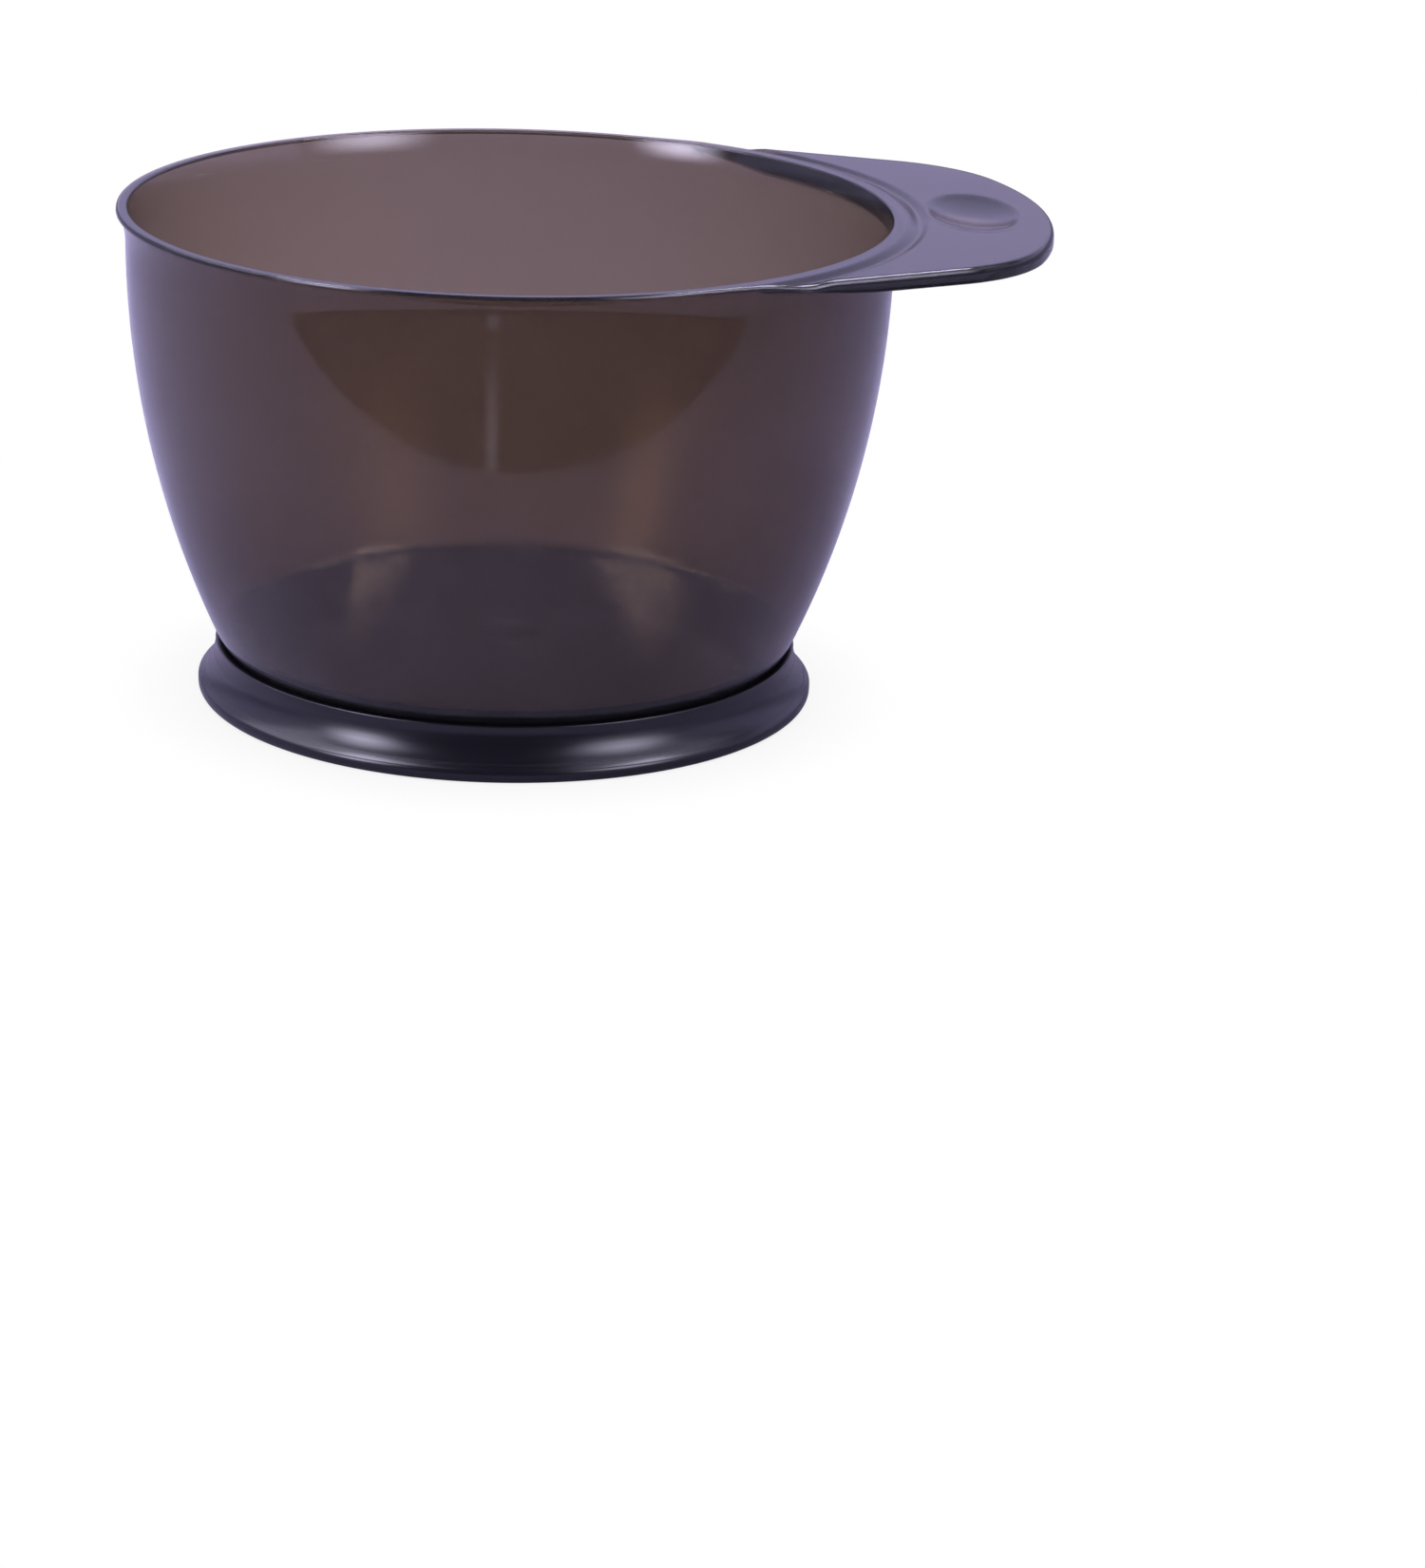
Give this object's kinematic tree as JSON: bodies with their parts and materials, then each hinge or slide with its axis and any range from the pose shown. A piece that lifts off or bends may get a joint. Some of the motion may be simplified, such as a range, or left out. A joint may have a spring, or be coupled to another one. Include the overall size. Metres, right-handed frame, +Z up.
{
  "type": "hair color bowl",
  "caption": "Round tapered mixing bowl in smoky translucent plastic, with a wide tab handle, a thumb dimple and a black non-slip ring round the foot.",
  "frame": {"origin": "on the bowl's axis, on the surface that the ring rests on", "axes": "+Z up along the bowl's axis, +X along the handle, towards its tip"},
  "size_m": [0.1548, 0.13, 0.083],
  "materials": {
    "smoky_plastic": "translucent smoky brown polypropylene, smooth with a fine satin haze inside",
    "black_rubber": "smooth semi-gloss black thermoplastic rubber"
  },
  "bodies": {
    "root": {"bowl": "smoky_plastic", "base_ring": "black_rubber"}
  },
  "joints": []
}
